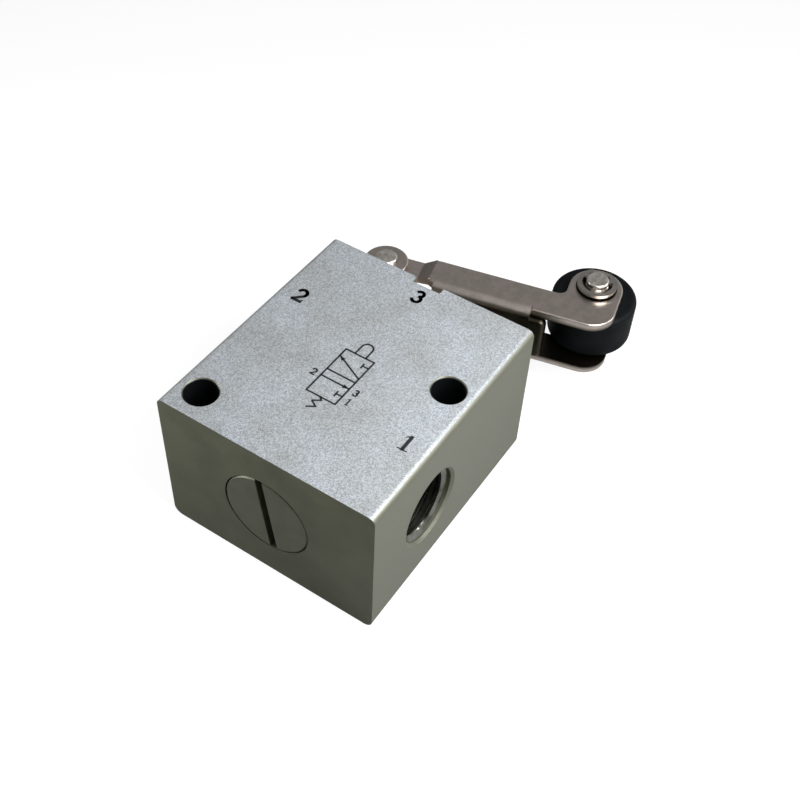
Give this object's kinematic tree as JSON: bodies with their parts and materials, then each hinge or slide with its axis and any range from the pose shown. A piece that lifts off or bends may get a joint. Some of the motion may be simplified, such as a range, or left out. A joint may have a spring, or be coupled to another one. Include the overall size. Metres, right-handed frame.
{
  "type": "roller lever pneumatic valve",
  "caption": "Mechanically operated pneumatic valve: a square block with threaded side ports and a slotted plug, worked by a pressed roller lever on one end.",
  "frame": {"origin": "centre of the block's back face, the face that lies on a plate when the valve is bolted down", "axes": "+Z out of the block's front face, +Y along the spool's bore towards the roller lever, +X towards the supply port"},
  "size_m": [0.0479, 0.0776, 0.0283],
  "materials": {
    "anodised_block": "bead-blasted and clear anodised",
    "plug_metal": "turned and clear anodised",
    "spool_metal": "fine turned",
    "bush_brass": "turned",
    "ground_steel": "ground and polished",
    "plated_sheet": "pressed sheet, nickel plated",
    "plated_steel": "nickel plated",
    "spring_steel": "drawn wire",
    "roller_plastic": "moulded black",
    "seal_rubber": "matt"
  },
  "bodies": {
    "block": {"block": "anodised_block", "end_plug": "plug_metal", "plug_seal": "seal_rubber", "return_spring": "spring_steel", "guide_bush": "bush_brass", "plunger_wiper": "seal_rubber", "bracket": "plated_sheet", "bracket_screws": "plated_steel", "pivot_pin": "plated_steel"},
    "lever": {"lever": "plated_sheet", "roller_pin": "plated_steel", "roller_clip": "plated_steel"},
    "roller": {"roller": "roller_plastic"},
    "plunger": {"plunger": "ground_steel", "spool": "spool_metal", "supply_seal": "seal_rubber", "outlet_seal": "seal_rubber", "exhaust_seal": "seal_rubber"}
  },
  "joints": [
    {"name": "lever_press", "type": "hinge", "parent": "block", "child": "lever", "pos_m": [-0.01424, 0.0313, 0.01415], "axis": [0, 0, -1], "range_deg": [0, 13], "stiffness_Nm_per_rad": 0.2, "springref_deg": -5.73},
    {"name": "roller_spin", "type": "hinge", "parent": "lever", "child": "roller", "pos_m": [0.02026, 0.0471, 0.01415], "axis": [0, 0, 1], "continuous": true},
    {"name": "plunger_slide", "type": "slide", "parent": "block", "child": "plunger", "axis": [0, -1, 0], "range_m": [0, 0.00315], "deforming": ["return_spring"]}
  ],
  "couplings": [
    {"joint": "plunger_slide", "follows": "lever_press", "m_per_rad": 0.013721}
  ]
}
